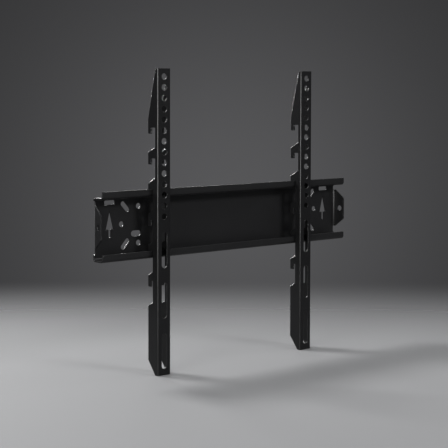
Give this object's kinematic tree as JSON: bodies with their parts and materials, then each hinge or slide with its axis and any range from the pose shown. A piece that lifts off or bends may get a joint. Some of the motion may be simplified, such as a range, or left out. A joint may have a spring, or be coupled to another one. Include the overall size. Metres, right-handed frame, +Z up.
{
  "type": "fixed tv wall bracket",
  "caption": "Folded steel wall plate with upturned lips and end tabs, carrying upright channel arms whose hooks, holes and long slots hold a flat screen close to a wall.",
  "frame": {"origin": "middle of the wall plate's rear face, which lies on the wall", "axes": "+Z up, +Y into the wall, +X to the right of someone who faces the wall"},
  "size_m": [0.4652, 0.0361, 0.43],
  "materials": {
    "plate_coating": "satin black powder coat on steel sheet",
    "arm_coating": "satin black powder coat on steel sheet"
  },
  "bodies": {
    "root": {"wall_plate": "plate_coating", "left_arm": "arm_coating", "right_arm": "arm_coating"}
  },
  "joints": []
}
